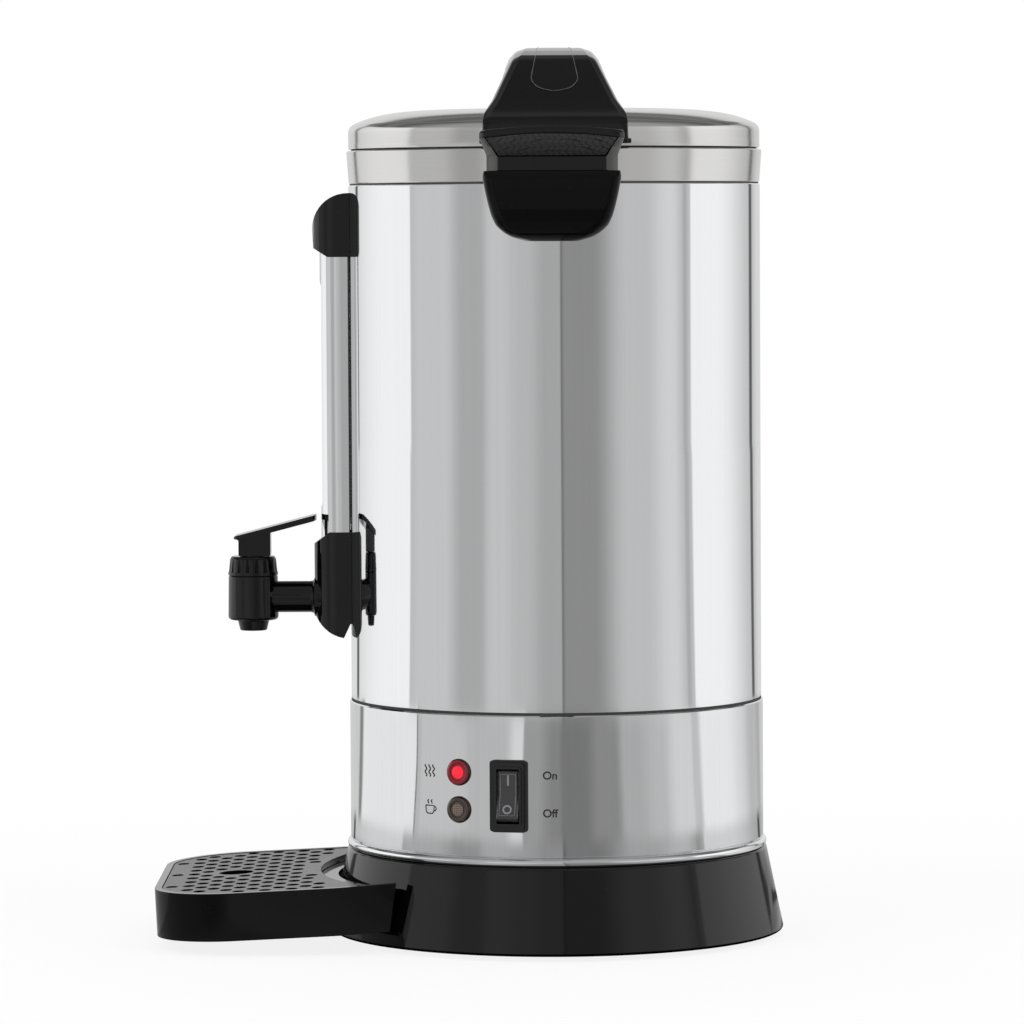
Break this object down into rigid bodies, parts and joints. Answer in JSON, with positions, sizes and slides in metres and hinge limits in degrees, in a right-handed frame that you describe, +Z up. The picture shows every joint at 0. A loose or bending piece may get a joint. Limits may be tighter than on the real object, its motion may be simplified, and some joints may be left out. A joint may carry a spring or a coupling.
{
  "type": "hot water urn",
  "caption": "Free-standing steel hot water urn with domed lid, level gauge, non-drip lever tap, rocker switch, lamps and a hook-on drip tray.",
  "frame": {"origin": "on the tank's axis at the level of the table that the rubber feet stand on", "axes": "+Z up along the tank, the tap, the gauge and the drip tray towards -X, the two side handles along Y with the switch towards -Y"},
  "size_m": [0.3197, 0.2642, 0.4532],
  "materials": {
    "polished_steel": "polished",
    "satin_steel": "satin",
    "dark_steel": "dull",
    "bright_hardware": "bright",
    "gloss_black": "gloss",
    "satin_black": "satin",
    "silicone": "matte",
    "bush_plastic": "matte",
    "brass": "bright",
    "cast_aluminium": "cast",
    "gauge_glass": "clear",
    "red_lens": "gloss",
    "amber_lens": "gloss",
    "pale_insulator": "matte"
  },
  "bodies": {
    "urn": {"control_band": "polished_steel", "tank_wall": "polished_steel", "gauge_shield": "polished_steel", "trim_ring": "polished_steel", "rim_collar": "satin_steel", "tank_floor": "satin_steel", "base_plate": "dark_steel", "heating_element": "dark_steel", "keep_warm_element": "dark_steel", "clamp_bar": "dark_steel", "base_screws": "bright_hardware", "handle_screws": "bright_hardware", "gauge_screw": "bright_hardware", "clamp_stud": "bright_hardware", "clamp_nut": "bright_hardware", "inlet_screws": "bright_hardware", "base_skirt": "gloss_black", "handle_front": "gloss_black", "handle_rear": "gloss_black", "gauge_cap": "gloss_black", "gauge_housing": "gloss_black", "tap_barrel": "gloss_black", "tap_bonnet": "gloss_black", "switch_frame": "satin_black", "inlet_socket": "satin_black", "lamp_holders": "satin_black", "rubber_feet": "silicone", "tube_seals": "silicone", "shank_gasket": "silicone", "tap_shank": "brass", "shank_nut": "brass", "switch_blades": "brass", "inlet_pins": "brass", "heater_plate": "cast_aluminium", "sight_tube": "gauge_glass", "lamp_heating": "red_lens", "lamp_warm": "amber_lens", "thermostat": "pale_insulator", "thermal_cutout": "pale_insulator", "terminal_block": "pale_insulator"},
    "lid_seal_ring": {"lid_seal": "silicone"},
    "lid": {"lid_pan": "satin_steel", "lid_liner": "satin_steel", "lid_handle": "gloss_black", "handle_inlay": "satin_black", "lid_screws": "bright_hardware"},
    "tap_turn": {"stem_bush": "bush_plastic"},
    "tap_valve": {"tap_stem": "dark_steel", "lever_pin": "bright_hardware", "tap_seat": "silicone", "tap_spring": "bright_hardware"},
    "tap_handle": {"tap_lever": "gloss_black"},
    "switch_key": {"switch_rocker": "satin_black"},
    "tray": {"tray_pan": "gloss_black"},
    "grille": {"tray_grille": "satin_black"}
  },
  "joints": [
    {"name": "lid_lift", "type": "slide", "parent": "urn", "child": "lid_seal_ring", "axis": [0, 0, 1], "range_m": [0, 0.12]},
    {"name": "lid_turn", "type": "hinge", "parent": "lid_seal_ring", "child": "lid", "pos_m": [0, 0, 0.402], "axis": [0, 0, 1], "range_deg": [0, 60]},
    {"name": "lever_swivel", "type": "hinge", "parent": "urn", "child": "tap_turn", "pos_m": [-0.1551, 0, 0.19], "axis": [0, 0, 1], "continuous": true},
    {"name": "stem_lift", "type": "slide", "parent": "tap_turn", "child": "tap_valve", "axis": [0, 0, 1], "range_m": [0, 0.00156], "stiffness_N_per_m": 400, "springref_m": -0.004, "deforming": ["tap_spring"]},
    {"name": "lever_press", "type": "hinge", "parent": "tap_valve", "child": "tap_handle", "pos_m": [-0.1551, 0, 0.2015], "axis": [0, 1, 0], "range_deg": [0, 10]},
    {"name": "switch_tilt", "type": "hinge", "parent": "urn", "child": "switch_key", "pos_m": [-0.02401, -0.10078, 0.0811], "axis": [0.9728, -0.2317, 0], "range_deg": [0, 18]},
    {"name": "tray_slide", "type": "slide", "parent": "urn", "child": "tray", "axis": [-1, 0, 0], "range_m": [0, 0.06]},
    {"name": "grille_lift", "type": "slide", "parent": "tray", "child": "grille", "axis": [0, 0, 1], "range_m": [0, 0.04]}
  ],
  "couplings": [
    {"joint": "lever_press", "follows": "stem_lift", "rad_per_m": 111}
  ]
}
